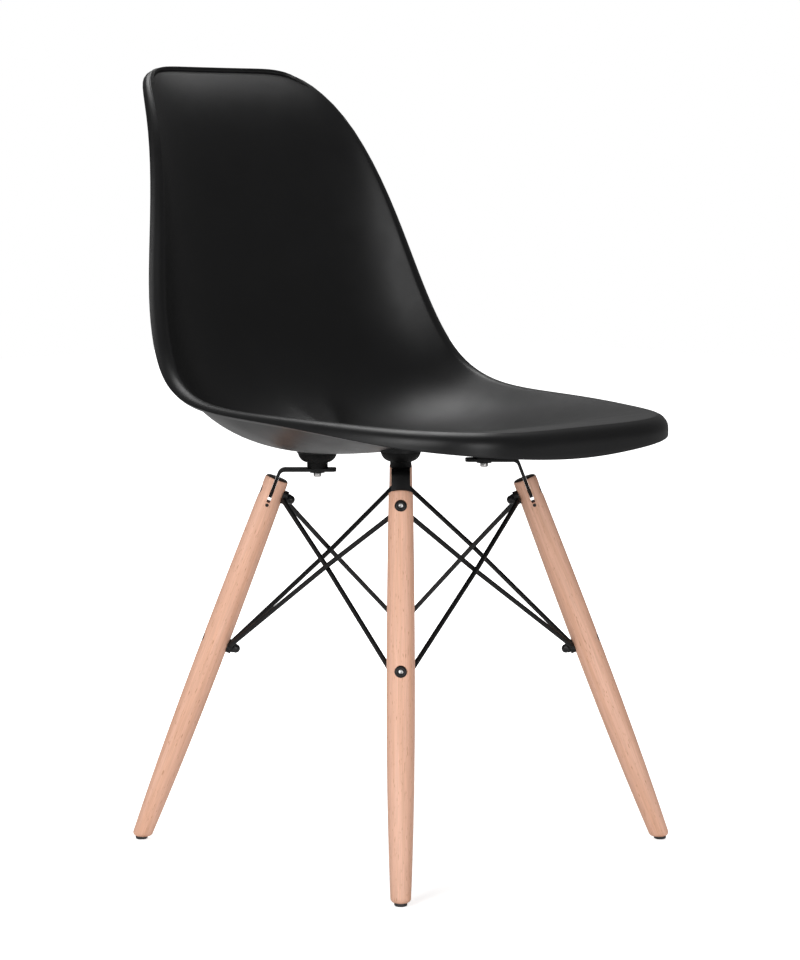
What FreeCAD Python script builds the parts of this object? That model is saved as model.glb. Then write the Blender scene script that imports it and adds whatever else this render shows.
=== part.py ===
import FreeCAD, Part
import math
import os
import re

import Sketcher

# Side chair with a moulded plastic shell on four splayed wooden legs.
# Millimetres, +Z up, the sitter faces -Y, the chair is symmetric about X = 0 and stands on Z = 0.

SIZES = {
    # Legs, each a turned dowel that leans in towards the top along its diagonal
    "base_setback": (-17.08, "Y of the centre of the four legs, ahead of the middle of the whole depth"),
    "leg_spread": (279, "base centre to leg axis at the floor"),
    "leg_splay": (20.9, "lean of each leg from upright, in degrees"),
    "leg_length": (417, "along the leg axis from the floor to the top end"),
    "leg_top_diameter": (25, ""),
    "leg_belly_diameter": (28.6, "thickest part of the leg"),
    "leg_foot_diameter": (18.8, ""),
    "leg_low_swell": (1.9, "lower control point of the leg's outline, outside the belly"),
    "leg_high_swell": (0.25, "upper control point, outside the belly"),
    "leg_top_round": (3.5, ""),
    "leg_foot_round": (4, ""),
    "slot_depth": (27.5, "slot in the top of the leg"),
    "slot_clearance": (0.2, "slot width less the strap's thickness"),
    "pin_depth": (30.2, "top of the leg to the split-stop pin"),
    "pin_diameter": (3.6, ""),
    "pin_clearance": (0.2, "on the diameter"),
    # Leg bolts with their round heads, lugs and cap nuts
    "upper_bolt_depth": (17.5, "top of the leg to the upper bolt"),
    "lower_bolt_depth": (187.5, "top of the leg to the lower bolt"),
    "bolt_diameter": (6, ""),
    "bolt_clearance": (0.6, "on the diameter of every bolt hole"),
    "bolt_head_diameter": (12, ""),
    "bolt_head_height": (3, ""),
    "bolt_head_chamfer": (1, ""),
    "counterbore_depth": (3.2, "below the nominal surface of the leg"),
    "counterbore_clearance": (0.6, "on the diameter"),
    "socket_size": (4, "across the flats of the key socket"),
    "socket_depth": (2, ""),
    "lug_seat_depth": (0.6, "flat milled into the inner side of the leg"),
    "lug_thickness": (5.6, ""),
    "lug_width": (13, ""),
    "lug_corner": (4.8, "the two corners away from the rods"),
    "lug_reach": (7, "bolt axis to the end away from the rods"),
    "lug_foot": (7, "bolt axis to the end between the rods"),
    "lug_mouth": (6, "bolt axis to the slanted faces that the rods meet"),
    "lug_slant": (20, "degrees that the ends of the rods point down from level"),
    "nut_size": (10, "across the flats"),
    "nut_height": (3.2, "hexagon of the cap nut"),
    "nut_dome_diameter": (9.6, ""),
    "nut_dome_straight": (0.4, "between the hexagon and the round end"),
    "nut_bore_depth": (6.2, ""),
    "thread_clearance": (0.3, "on the diameter"),
    # Wire bracing
    "rod_diameter": (5.2, ""),
    "rod_stub": (2.4, "straight end of a rod, from the lug to the corner of its bend"),
    "rod_bend": (5, "radius of the bend past the lug"),
    "rod_bow_bend": (300, "radius of the slight bow where two rods pass"),
    "rod_pass_gap": (0.5, "between two rods that pass, before the bow's bend is rounded"),
    # Foot glides
    "glide_diameter": (13, ""),
    "glide_height": (3, ""),
    "glide_chamfer": (0.8, ""),
    "nail_diameter": (2, ""),
    "nail_head_diameter": (4.6, ""),
    "nail_head_height": (1.2, ""),
    "nail_recess": (0.6, "sole of the glide to the nail's head"),
    "nail_length": (16, "under the head"),
    "nail_clearance": (0.2, "on the diameter"),
    # Leg brackets, bent from flat strap
    "strap_thickness": (3.5, ""),
    "strap_width": (19, ""),
    "strap_bend": (5, "inner radius"),
    "strap_corner": (5, ""),
    "tab_depth": (22, "length of the tab inside the leg"),
    "front_bracket_rise": (20.5, "top of the leg axis to the top of the flange"),
    "rear_bracket_rise": (10, ""),
    "flange_overhang": (20, "mount axis to the inner end of the flange"),
    # Shock mounts and their screws
    "mount_inset": (42.2, "top of the leg axis to the mount axis, seen from above"),
    "mount_top_diameter": (41.5, ""),
    "mount_bottom_diameter": (23, "under side of the cup"),
    "mount_neck_diameter": (22, ""),
    "mount_neck_height": (6, ""),
    "mount_height": (16, ""),
    "mount_side_radius": (16, "bulge of the cup's side"),
    "screw_diameter": (5, ""),
    "screw_clearance": (0.6, "on the diameter"),
    "screw_head_diameter": (8.4, ""),
    "screw_head_height": (4.4, ""),
    "screw_head_chamfer": (0.8, ""),
    "washer_diameter": (16, ""),
    "washer_thickness": (1.5, ""),
    "insert_diameter": (8, ""),
    "insert_length": (4.6, ""),
    "insert_clearance": (0.2, "on the diameter"),
    "screw_end_gap": (0.4, "end of the screw below the end of the insert"),
    # Shell
    "wall": (4.5, "thickness of the moulding"),
    "boss_diameter": (43, ""),
    "boss_limit": (40, "no boss is taller than this"),
    "rim_sharpness": (6, "2 is an ellipse, more is squarer"),
    "dish_sharpness": (3.8, "how late the dish turns up towards the rim"),
    "lip_turn": (95, "degrees that the rim is rolled over"),
    "lip_side_skirt": (1, "straight skirt past the roll"),
    "lip_front_skirt": (15, ""),
}

# The shell's centre line from the front edge to the top edge, as the control points of a smooth curve.
# Places are from the centre of the base and the top of a rear mount, lip is the radius of the rolled rim.
STATIONS = {
    #          place Y, place Z, rim rise, half width, lip
    "front": (-249.5, 45, 7, 176, 14.5),
    "knee": (-204, 44, 7, 182, 14),
    "thigh": (-121, 29, 24, 191, 14),
    "seat": (-14, 6, 46, 202, 10),
    "hip": (93, 3, 53, 209, 12),
    "tail": (168, 55, 45, 202, 14),
    "waist": (200, 159, 34, 184, 14),
    "rib": (213, 281, 24, 158, 10),
    "shoulder": (243, 372, 12, 142, 7.5),
    "crown": (290, 405, 13, 144, 5.5),
}
COLUMNS = ("place", "level", "rise", "half", "lip")

# How the shell's net of control points is laid out
PAN_RINGS = 10
PAN_SPACING = 0.8  # below 1 the rings lie closer together near the rim
LIP_RINGS = 5
AROUND = 96
SHELL_CENTRE = 0.42  # share of the centre line where the rings start
NUDGE = 0.002
CLOSE = 0.01

# The legs in order round the base, with the direction of each from the base centre in degrees
LEGS = {"rear_left": 45, "rear_right": 135, "front_right": 225, "front_left": 315}

doc = FreeCAD.newDocument("side_chair")
sheet = doc.addObject("Spreadsheet::Sheet", "Sizes")
cells = {name: size for name, (size, note) in SIZES.items()}
for station, row in STATIONS.items():
    for column, size in zip(COLUMNS, row):
        cells[station + "_" + column] = size
for line, (name, size) in enumerate(cells.items(), start=1):
    sheet.set("A%d" % line, name)
    sheet.set("B%d" % line, str(size))
    sheet.setAlias("B%d" % line, name)
doc.recompute()
NAMES = re.compile(r"\b(" + "|".join(sorted(cells, key=len, reverse=True)) + r")\b")
nodes = []


def formula(text):
    """The expression with every size pointed at its cell."""
    return NAMES.sub(r"Sizes.\g<1>", text)


def size_of(text):
    return float(sheet.evalExpression(formula(text)))


def bind(thing, **formulas):
    for prop, text in formulas.items():
        thing.setExpression(prop, formula(text))


def place(x="0", y="0", z="0", yaw="0", pitch="0", roll="0"):
    return ("create(<<placement>>; create(<<vector>>; %s; %s; %s); create(<<rotation>>; %s; %s; %s))"
            % (x, y, z, yaw, pitch, roll))


def around_base(direction, reach, height="0", pitch="0"):
    """Placement at a distance from the base centre in one of the leg directions."""
    return place("(%s) * cos(%d)" % (reach, direction),
                 "(%s) * sin(%d) + base_setback" % (reach, direction), height, str(direction), pitch)


def new_body(name, placement):
    body = doc.addObject("PartDesign::Body", name)
    body.Label = name
    bind(body, Placement=placement)
    return body


def new_sketch(body, plane, offset=None):
    """A sketch on one of the body's own planes: XY, XZ or YZ."""
    sketch = body.newObject("Sketcher::SketchObject", body.Name + "_sketch")
    origin_plane = [feature for feature in body.Origin.OriginFeatures if feature.Role == plane + "_Plane"]
    sketch.AttachmentSupport = [(origin_plane[0], "")]
    sketch.MapMode = "FlatFace"
    if offset:
        bind(sketch, AttachmentOffset=offset)
    return sketch


def pin_down(sketch, geometry, end, across, up):
    """Hold one point of the sketch at two formulas, measured from the sketch's origin."""
    for kind, text, axis in (("DistanceX", across, -2), ("DistanceY", up, -1)):
        if text == "0":
            sketch.addConstraint(Sketcher.Constraint("PointOnObject", geometry, end, axis))
            continue
        index = sketch.addConstraint(Sketcher.Constraint(kind, -1, 1, geometry, end, size_of(text)))
        sketch.setExpression("Constraints[%d]" % index, formula(text))


def bulged_arc(start, finish, radius):
    """The shallow arc from start to finish that bulges to the right of the way it goes."""
    chord = finish - start
    side = FreeCAD.Vector(chord.y, -chord.x, 0).normalize()
    sagitta = radius - math.sqrt(radius ** 2 - (chord.Length / 2) ** 2)
    return Part.Arc(start, start + chord * 0.5 + side * sagitta, finish)


def swept_curve(points):
    """One smooth stretch, drawn by its ends and the control points between them."""
    curve = Part.BSplineCurve()
    ends = len(points)
    curve.buildFromPolesMultsKnots(points, [ends, ends], [0, 1], False, ends - 1)
    return curve


def at(place_in_sketch):
    return FreeCAD.Vector(size_of(place_in_sketch[0]), size_of(place_in_sketch[1]), 0)


def outline(sketch, corners):
    """A closed outline of (across, up) corners.

    A third value bends the stretch to the next corner: a radius, or a list of its control points.
    """
    stretches = list(zip(corners, corners[1:] + corners[:1]))
    for corner, following in stretches:
        bend = corner[2] if len(corner) == 3 else None
        if isinstance(bend, str):
            sketch.addGeometry(bulged_arc(at(corner), at(following), size_of(bend)))
        elif bend:
            controls = [at(control) for control in bend]
            sketch.addGeometry(swept_curve([at(corner)] + controls + [at(following)]))
        else:
            sketch.addGeometry(Part.LineSegment(at(corner), at(following)))
    for index, corner in enumerate(corners):
        sketch.addConstraint(Sketcher.Constraint("Coincident", index, 2, (index + 1) % len(corners), 1))
        pin_down(sketch, index, 1, corner[0], corner[1])
        bend = corner[2] if len(corner) == 3 else None
        if isinstance(bend, str):
            radius = sketch.addConstraint(Sketcher.Constraint("Radius", index, size_of(bend)))
            sketch.setExpression("Constraints[%d]" % radius, formula(bend))
        elif bend:
            first_pole = sketch.GeometryCount
            sketch.exposeInternalGeometry(index)
            for step, control in enumerate(bend, start=1):
                pin_down(sketch, first_pole + step, 3, control[0], control[1])
    return sketch


def ring(sketch, across, up, diameter):
    centre = FreeCAD.Vector(size_of(across), size_of(up), 0)
    axis = FreeCAD.Vector(0, 0, 1)
    index = sketch.addGeometry(Part.Circle(centre, axis, size_of(diameter) / 2))
    pin_down(sketch, index, 3, across, up)
    measure = sketch.addConstraint(Sketcher.Constraint("Diameter", index, size_of(diameter)))
    sketch.setExpression("Constraints[%d]" % measure, formula(diameter))
    return sketch


def hexagon(sketch, flats):
    """A hexagon about the sketch's origin, given its size across the flats."""
    half = "(%s) / 2" % flats
    point = "(%s) / 2 / cos(30)" % flats
    return outline(sketch, [(half, point + " / 2"), ("0", point), ("-" + half, point + " / 2"),
                            ("-" + half, "-" + point + " / 2"), ("0", "-" + point),
                            (half, "-" + point + " / 2")])


def pad(body, sketch, length, midplane=False, backwards=False):
    feature = body.newObject("PartDesign::Pad", body.Name + "_pad")
    feature.Profile = sketch
    feature.Midplane = midplane
    feature.Reversed = backwards
    bind(feature, Length=length)
    return feature


def cut(body, sketch, length=None, midplane=False, backwards=False):
    """A pocket, through everything if it has no length."""
    feature = body.newObject("PartDesign::Pocket", body.Name + "_cut")
    feature.Profile = sketch
    feature.Midplane = midplane
    feature.Reversed = backwards
    if length:
        bind(feature, Length=length)
    else:
        feature.Type = "ThroughAll"
    return feature


def turn(body, sketch, axis="V_Axis"):
    feature = body.newObject("PartDesign::Revolution", body.Name + "_turned")
    feature.Profile = sketch
    feature.ReferenceAxis = (sketch, [axis])
    feature.Angle = 360
    return feature


def round_edges(body, radius, chosen):
    """Fillet the edges that pass the test."""
    doc.recompute()
    base = body.Tip
    names = ["Edge%d" % (index + 1) for index, edge in enumerate(base.Shape.Edges) if chosen(edge)]
    feature = body.newObject("PartDesign::Fillet", body.Name + "_round")
    feature.Base = (base, names)
    bind(feature, Radius=radius)
    return feature


def runs_along(edge, direction):
    if not isinstance(edge.Curve, Part.Line):
        return False
    return abs(abs(edge.Curve.Direction.dot(direction)) - 1) < 1e-6


def single(thing):
    nodes.append(thing)
    return thing


def group(name, things):
    """Identical pieces that share one node, each a separate solid."""
    bundle = doc.addObject("Part::Compound", name)
    bundle.Label = name
    bundle.Links = things
    nodes.append(bundle)


MOUNT_REACH = "(leg_spread - leg_length * sin(leg_splay) - mount_inset)"


def leg_placement(name):
    return around_base(LEGS[name], "leg_spread", "0", "-leg_splay")


def on_leg(name, along, outwards="0", roll="0"):
    """Placement on a leg: its own X points away from the base centre, square to the leg."""
    return leg_placement(name) + " * " + place(x=outwards, z=along, roll=roll)


BOLTS = {
    "upper": ("leg_length - upper_bolt_depth", "leg_top_diameter", "0"),
    "lower": ("leg_length - lower_bolt_depth", "leg_belly_diameter", "180"),
}


def leg(name):
    body = new_body("leg_" + name, leg_placement(name))
    tilt = place(z="glide_height / cos(leg_splay)", pitch="leg_splay")
    top, belly, foot = "leg_top_diameter / 2", "leg_belly_diameter / 2", "leg_foot_diameter / 2"
    start, third = "-leg_foot_diameter / 2", "(leg_length + leg_foot_diameter / 2) / 3"
    # The joint line of the turned face lies between the slot and the bolts
    turn(body, outline(new_sketch(body, "XZ", place(pitch="45")), [
        ("0", start),
        (foot, start, [(belly + " + leg_low_swell", "%s + %s" % (start, third)),
                       (belly + " + leg_high_swell", "leg_length - " + third)]),
        (top, "leg_length"), ("0", "leg_length")]))
    for along, diameter, roll in BOLTS.values():
        cut(body, ring(new_sketch(body, "YZ"), "0", along, "bolt_diameter + bolt_clearance"), midplane=True)
    # The foot is cut level, so that it stands flat on its glide
    cut(body, ring(new_sketch(body, "XY", tilt), "0", "0", "leg_belly_diameter * 2"))
    round_edges(body, "leg_foot_round", lambda edge: edge.BoundBox.ZMax < size_of("leg_foot_diameter"))
    round_edges(body, "leg_top_round", lambda edge: edge.BoundBox.ZMin > size_of("leg_length") - CLOSE)
    cut(body, ring(new_sketch(body, "XY", tilt), "0", "0", "nail_diameter + nail_clearance"),
        "nail_length", backwards=True)
    slot = "(strap_thickness + slot_clearance) / 2"
    cut(body, outline(new_sketch(body, "XZ"), [
        ("-" + slot, "leg_length - slot_depth"), (slot, "leg_length - slot_depth"),
        (slot, "leg_length + slot_depth"), ("-" + slot, "leg_length + slot_depth")]), midplane=True)
    cut(body, ring(new_sketch(body, "XZ"), "0", "leg_length - pin_depth", "pin_diameter + pin_clearance"),
        midplane=True)
    for along, diameter, roll in BOLTS.values():
        outer = place(z=diameter + " / 2 - counterbore_depth")
        cut(body, ring(new_sketch(body, "YZ", outer), "0", along,
                       "bolt_head_diameter + counterbore_clearance"), backwards=True)
        inner = place(z="lug_seat_depth - " + diameter + " / 2")
        below, above = ("lug_foot", "lug_reach") if roll == "0" else ("lug_reach", "lug_foot")
        cut(body, outline(new_sketch(body, "YZ", inner), [
            ("-lug_width", along + " - " + below), ("lug_width", along + " - " + below),
            ("lug_width", along + " + " + above), ("-lug_width", along + " + " + above)]))
    return single(body)


def leg_pin(name):
    body = new_body("pin_" + name, on_leg(name, "leg_length - pin_depth"))
    pad(body, ring(new_sketch(body, "XZ"), "0", "0", "pin_diameter"), "leg_top_diameter - 2 * pin_clearance",
        midplane=True)
    return body


def leg_bolt(name, level):
    """Shank along X with its round head outside and its end inside the cap nut."""
    along, diameter, roll = BOLTS[level]
    body = new_body("%s_bolt_%s" % (level, name), on_leg(name, along))
    head = "(%s / 2 - counterbore_depth)" % diameter
    end = "(%s / 2 - lug_seat_depth + lug_thickness + nut_bore_depth - thread_clearance)" % diameter
    shank, rim = "bolt_diameter / 2", "bolt_head_diameter / 2"
    crown = head + " + bolt_head_height"
    turn(body, outline(new_sketch(body, "XZ"), [
        ("-" + end, "0"), (crown, "0"), (crown, rim + " - bolt_head_chamfer"),
        (crown + " - bolt_head_chamfer", rim), (head, rim), (head, shank), ("-" + end, shank)]), "H_Axis")
    top = place(z=crown + " - socket_depth")
    cut(body, hexagon(new_sketch(body, "YZ", top), "socket_size"), backwards=True)
    return body


def cap_nut(name, level):
    """Hexagon against the lug, with a domed end towards the middle of the chair."""
    along, diameter, roll = BOLTS[level]
    body = new_body("%s_nut_%s" % (level, name),
                    on_leg(name, along, "-(%s / 2 - lug_seat_depth + lug_thickness)" % diameter))
    pad(body, hexagon(new_sketch(body, "YZ"), "nut_size"), "nut_height", backwards=True)
    dome, round_start = "nut_dome_diameter / 2", "-nut_height - nut_dome_straight"
    turn(body, outline(new_sketch(body, "XZ"), [
        ("-nut_height", "0"), ("-nut_height", dome), (round_start, dome, dome),
        (round_start + " - " + dome, "0")]), "H_Axis")
    cut(body, ring(new_sketch(body, "YZ"), "0", "0", "bolt_diameter + thread_clearance"), "nut_bore_depth")
    return body


def lug_placement(name, level):
    along, diameter, roll = BOLTS[level]
    return on_leg(name, along, "-(%s / 2 - lug_seat_depth)" % diameter, roll)


def lug(name, level):
    """Thick plate that the bolt clamps to the leg, with two slanted faces for the ends of the rods."""
    body = new_body("lug_%s_%s" % (level, name), lug_placement(name, level))
    side, side_end = "lug_width / 2", "(lug_width / 2 * cos(lug_slant) - lug_mouth) / sin(lug_slant)"
    foot_end = "(lug_mouth - lug_foot * sin(lug_slant)) / cos(lug_slant)"
    pad(body, outline(new_sketch(body, "YZ"), [
        ("-" + foot_end, "-lug_foot"), (foot_end, "-lug_foot"), (side, side_end), (side, "lug_reach"),
        ("-" + side, "lug_reach"), ("-" + side, side_end)]), "lug_thickness", backwards=True)
    across = FreeCAD.Vector(1, 0, 0)
    round_edges(body, "lug_corner", lambda edge: runs_along(edge, across) and edge.BoundBox.ZMin > 0)
    cut(body, ring(new_sketch(body, "YZ"), "0", "0", "bolt_diameter + bolt_clearance"), midplane=True)
    return single(body)


def bracket(name, rise):
    """Strap bent from the flange under the mount into the tab in the leg."""
    body = new_body("bracket_" + name, around_base(LEGS[name], "0"))
    top = "(leg_length * cos(leg_splay) + %s)" % rise
    half = "strap_thickness / 2"
    depth = "(leg_length - tab_depth)"

    def tab_corner(side):
        return ("leg_spread - %s * sin(leg_splay) %s %s * cos(leg_splay)" % (depth, side, half),
                "%s * cos(leg_splay) %s %s * sin(leg_splay)" % (depth, side, half))

    bend_out = "leg_spread - %s * tan(leg_splay) + %s / cos(leg_splay)" % (top, half)
    bend_in = "leg_spread - (%s - strap_thickness) * tan(leg_splay) - %s / cos(leg_splay)" % (top, half)
    inner_end = MOUNT_REACH + " - flange_overhang"
    pad(body, outline(new_sketch(body, "XZ"), [
        (inner_end, top + " - strap_thickness"), (bend_in, top + " - strap_thickness"), tab_corner("-"),
        tab_corner("+"), (bend_out, top), (inner_end, top)]), "strap_width", midplane=True)
    across = FreeCAD.Vector(0, 1, 0)

    def beside(text):
        return lambda edge: runs_along(edge, across) and abs(edge.BoundBox.Center.x - size_of(text)) < CLOSE

    round_edges(body, "strap_bend", beside(bend_in))
    round_edges(body, "strap_bend + strap_thickness", beside(bend_out))
    upright = FreeCAD.Vector(0, 0, 1)
    round_edges(body, "strap_corner", lambda edge: runs_along(edge, upright))
    cut(body, ring(new_sketch(body, "XY"), MOUNT_REACH, "0", "screw_diameter + screw_clearance"),
        backwards=True)
    bolt_x = "leg_spread - (leg_length - upper_bolt_depth) * sin(leg_splay)"
    bolt_z = "(leg_length - upper_bolt_depth) * cos(leg_splay)"
    across_tab = place(y=bolt_z, z=bolt_x, roll="-leg_splay")
    cut(body, ring(new_sketch(body, "YZ", across_tab), "0", "0", "bolt_diameter + bolt_clearance"),
        midplane=True)
    return single(body)


def on_mount(name, rise, offset=""):
    """Placement on a mount's axis, measured from the top of the bracket's flange."""
    level = "leg_length * cos(leg_splay) + " + rise + offset
    return around_base(LEGS[name], MOUNT_REACH, level)


UNDER_WASHER = " - strap_thickness - washer_thickness"


def shock_mount(name, rise):
    """Cup with a bulging side and a short neck that stands on the flange."""
    body = new_body("shock_mount_" + name, on_mount(name, rise))
    bore, neck = "(screw_diameter + screw_clearance) / 2", "mount_neck_diameter / 2"
    turn(body, outline(new_sketch(body, "XZ"), [
        (bore, "0"), (neck, "0"), (neck, "mount_neck_height"),
        ("mount_bottom_diameter / 2", "mount_neck_height", "mount_side_radius"),
        ("mount_top_diameter / 2", "mount_height"), (bore, "mount_height")]))
    return single(body)


def mount_screw(name, rise):
    """Screw from below, through washer, flange and mount into the insert in the shell."""
    body = new_body("screw_" + name, on_mount(name, rise, UNDER_WASHER))
    shank = "screw_diameter / 2"
    tip = "strap_thickness + washer_thickness + mount_height + insert_length - screw_end_gap"
    head = "screw_head_diameter / 2"
    turn(body, outline(new_sketch(body, "XZ"), [
        ("0", "-screw_head_height"), (head + " - screw_head_chamfer", "-screw_head_height"),
        (head, "screw_head_chamfer - screw_head_height"), (head, "0"), (shank, "0"), (shank, tip),
        ("0", tip)]))
    return body


def washer(name, rise):
    body = new_body("washer_" + name, on_mount(name, rise, UNDER_WASHER))
    plate = ring(new_sketch(body, "XY"), "0", "0", "washer_diameter")
    ring(plate, "0", "0", "screw_diameter + screw_clearance")
    pad(body, plate, "washer_thickness")
    return body


def insert(name, rise):
    body = new_body("insert_" + name, on_mount(name, rise, " + mount_height"))
    sleeve = ring(new_sketch(body, "XY"), "0", "0", "insert_diameter")
    ring(sleeve, "0", "0", "screw_diameter + thread_clearance")
    pad(body, sleeve, "insert_length")
    return body


GLIDE_REACH = "leg_spread - glide_height * tan(leg_splay)"


def glide(name):
    """Flat foot with a chamfered sole and a recess for the head of its nail."""
    body = new_body("glide_" + name, around_base(LEGS[name], GLIDE_REACH))
    edge, recess = "glide_diameter / 2", "(nail_head_diameter + nail_clearance) / 2"
    step = "nail_recess + nail_head_height"
    hole = "(nail_diameter + nail_clearance) / 2"
    turn(body, outline(new_sketch(body, "XZ"), [
        (recess, "0"), (edge + " - glide_chamfer", "0"), (edge, "glide_chamfer"), (edge, "glide_height"),
        (hole, "glide_height"), (hole, step), (recess, step)]))
    return single(body)


def glide_nail(name):
    body = new_body("nail_" + name, around_base(LEGS[name], GLIDE_REACH, "nail_recess"))
    shank, head = "nail_diameter / 2", "nail_head_diameter / 2"
    tip = "nail_head_height + nail_length - nail_recess - glide_height"
    turn(body, outline(new_sketch(body, "XZ"), [
        ("0", "0"), (head, "0"), (head, "nail_head_height"), (shank, "nail_head_height"), (shank, tip),
        ("0", tip)]))
    return body


def rounded_path(points, radii):
    """A wire through the points, with a tangent arc of the given radius at each inner point."""
    edges = []
    start = points[0]
    for index, radius in enumerate(radii, start=1):
        corner = points[index]
        back = (points[index - 1] - corner).normalize()
        ahead = (points[index + 1] - corner).normalize()
        half_turn = (math.pi - back.getAngle(ahead)) / 2
        reach = radius * math.tan(half_turn)
        middle = corner + (back + ahead).normalize() * (radius / math.cos(half_turn) - radius)
        edges.append(Part.LineSegment(start, corner + back * reach).toShape())
        edges.append(Part.Arc(corner + back * reach, middle, corner + ahead * reach).toShape())
        start = corner + ahead * reach
    edges.append(Part.LineSegment(start, points[-1]).toShape())
    return Part.Wire(edges)


def rod_end(name, level, side):
    """Where a rod leaves a lug and the corner of its bend, on the given side of the leg."""
    frame = sheet.evalExpression(formula(lug_placement(name, level)))
    if level == "lower":
        side = -side
    slant = FreeCAD.Vector(0, side * size_of("cos(lug_slant)"), -size_of("sin(lug_slant)"))
    mouth = slant * size_of("lug_mouth") - FreeCAD.Vector(size_of("lug_thickness / 2"), 0, 0)
    return frame.multVec(mouth), frame.multVec(mouth + slant * size_of("rod_stub"))


def passing_points(first, second):
    """Where two crossing rods pass, each bowed aside by half a rod: outside first, then inside."""
    across = (first[1] - first[0]).cross(second[1] - second[0]).normalize()
    if across.dot(FreeCAD.Vector(first[0].x, first[0].y - size_of("base_setback"), 0)) < 0:
        across = across * -1
    span = (first[0] - second[0]).Length
    share = span / (span + (first[1] - second[1]).Length)
    aside = across * size_of("(rod_diameter + rod_pass_gap) / 2")
    crossing = first[0] + (first[1] - first[0]) * share
    return crossing + aside, crossing - aside


def brace(name, following):
    """The two rods that cross between one leg and the next, the one from the first leg's top inside."""
    down = rod_end(name, "upper", 1) + rod_end(following, "lower", -1)
    back = rod_end(following, "upper", -1) + rod_end(name, "lower", 1)
    outside, inside = passing_points((down[1], down[3]), (back[1], back[3]))
    radii = [size_of("rod_bend"), size_of("rod_bow_bend"), size_of("rod_bend")]
    for start, finish, ends, bow in ((name, following, down, inside), (following, name, back, outside)):
        path = rounded_path([ends[0], ends[1], bow, ends[3], ends[2]], radii)
        circle = Part.Circle(ends[0], ends[1] - ends[0], size_of("rod_diameter / 2"))
        rod = doc.addObject("Part::Feature", "rod_%s_to_%s" % (start, finish))
        rod.Label = rod.Name
        rod.Shape = path.makePipe(Part.Face(Part.Wire(circle.toShape())))
        rod.Placement = FreeCAD.Placement()
        nodes.append(rod)


def spline(poles):
    """A smooth open curve with its ends on the first and last control point."""
    inner = len(poles) - 4
    curve = Part.BSplineCurve()
    knots = [step / (inner + 1) for step in range(inner + 2)]
    curve.buildFromPolesMultsKnots(poles, [4] + [1] * inner + [4], knots, False, 3)
    return curve


class ShellForm:
    """The upper face of the shell, dished about a curved centre line and rolled over at the rim."""

    def __init__(self):
        rows = [[size_of(station + "_" + column) for column in COLUMNS] for station in STATIONS]
        self.line = spline([FreeCAD.Vector(0, row[0], row[1]) for row in rows])
        self.section = spline([FreeCAD.Vector(row[2], row[3], row[4]) for row in rows])
        self.squareness = size_of("rim_sharpness")
        self.dish = size_of("dish_sharpness")

    def rim(self, angle):
        """Place of the rim along and across the shell, for an angle seen from its centre."""
        ahead, across = math.cos(angle), math.sin(angle)
        length = (abs(ahead) ** self.squareness + abs(across) ** self.squareness) ** (1 / self.squareness)
        return (1 - ahead / length) / 2, across / length

    def point(self, along, across):
        along = min(max(along, 0), 1)
        centre = self.line.value(along)
        tangent = self.line.tangent(along)[0]
        rise, half, lip = self.section.value(along)
        lift = rise * abs(across) ** self.dish
        return centre + FreeCAD.Vector(half * across, -tangent.z * lift, tangent.y * lift)

    def normal(self, along, across):
        """Unit normal on the sitter's side."""
        lengthwise = self.point(along + NUDGE, across) - self.point(along - NUDGE, across)
        crosswise = self.point(along, across + NUDGE) - self.point(along, across - NUDGE)
        return crosswise.cross(lengthwise).normalize()

    def rings(self, depth):
        """Rings of control points from the centre to the edge of the skirt, at a depth in the wall."""
        turn_angle = math.radians(size_of("lip_turn"))
        angles = [2 * math.pi * step / AROUND for step in range(AROUND)]
        rims = [self.rim(angle) for angle in angles]
        rings = []
        for ring_number in range(PAN_RINGS + 1):
            share = (ring_number / PAN_RINGS) ** PAN_SPACING
            places = [(SHELL_CENTRE + share * (along - SHELL_CENTRE), share * across)
                      for along, across in rims]
            rings.append([self.point(*where) - self.normal(*where) * depth for where in places])
        edge = [self.point(*where) for where in rims]
        normals = [self.normal(*where) for where in rims]
        outward = []
        for index, normal in enumerate(normals):
            tangent = edge[(index + 1) % AROUND] - edge[index - 1]
            side = tangent.cross(normal).normalize()
            outward.append(side if side.dot(edge[index] - self.point(SHELL_CENTRE, 0)) > 0 else side * -1)
        lips = [self.section.value(along).z for along, across in rims]
        for step in range(1, LIP_RINGS + 1):
            roll = turn_angle * step / LIP_RINGS
            rings.append([edge[i] - normals[i] * lips[i]
                          + (outward[i] * math.sin(roll) + normals[i] * math.cos(roll)) * (lips[i] - depth)
                          for i in range(AROUND)])
        side_skirt, front_skirt = size_of("lip_side_skirt"), size_of("lip_front_skirt")
        skirt = [side_skirt + (front_skirt - side_skirt) * max(math.cos(angle), 0) ** 3 for angle in angles]
        for share in (0.5, 1):
            rings.append([rings[PAN_RINGS + LIP_RINGS][i]
                          + (outward[i] * math.cos(turn_angle) - normals[i] * math.sin(turn_angle))
                          * skirt[i] * share for i in range(AROUND)])
        return rings


def outwards_from(before, point, after):
    """A control point moved so that the smooth surface passes close to where the point was."""
    return point - (before - point * 2 + after) / 6


def control_net(rings):
    """Control points of a smooth surface that follows the rings, which are closed all round."""
    net = [[outwards_from(ring[i - 1], ring[i], ring[(i + 1) % AROUND]) for i in range(AROUND)]
           for ring in rings]
    inner = [[outwards_from(*points) for points in zip(net[number - 1], net[number], net[number + 1])]
             for number in range(2, len(net) - 2)]
    return net[:2] + inner + net[-2:]


def net_face(rings, degree=3):
    """A face whose control points are rings, closed all round."""
    inner = len(rings) - degree - 1
    surface = Part.BSplineSurface()
    across_knots = [step / (inner + 1) for step in range(inner + 2)]
    round_knots = [step / AROUND for step in range(AROUND + 1)]
    surface.buildFromPolesMultsKnots(rings, [degree + 1] + [1] * inner + [degree + 1], [1] * (AROUND + 1),
                                     across_knots, round_knots, False, True, degree, 3)
    return surface.toShape()


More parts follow.
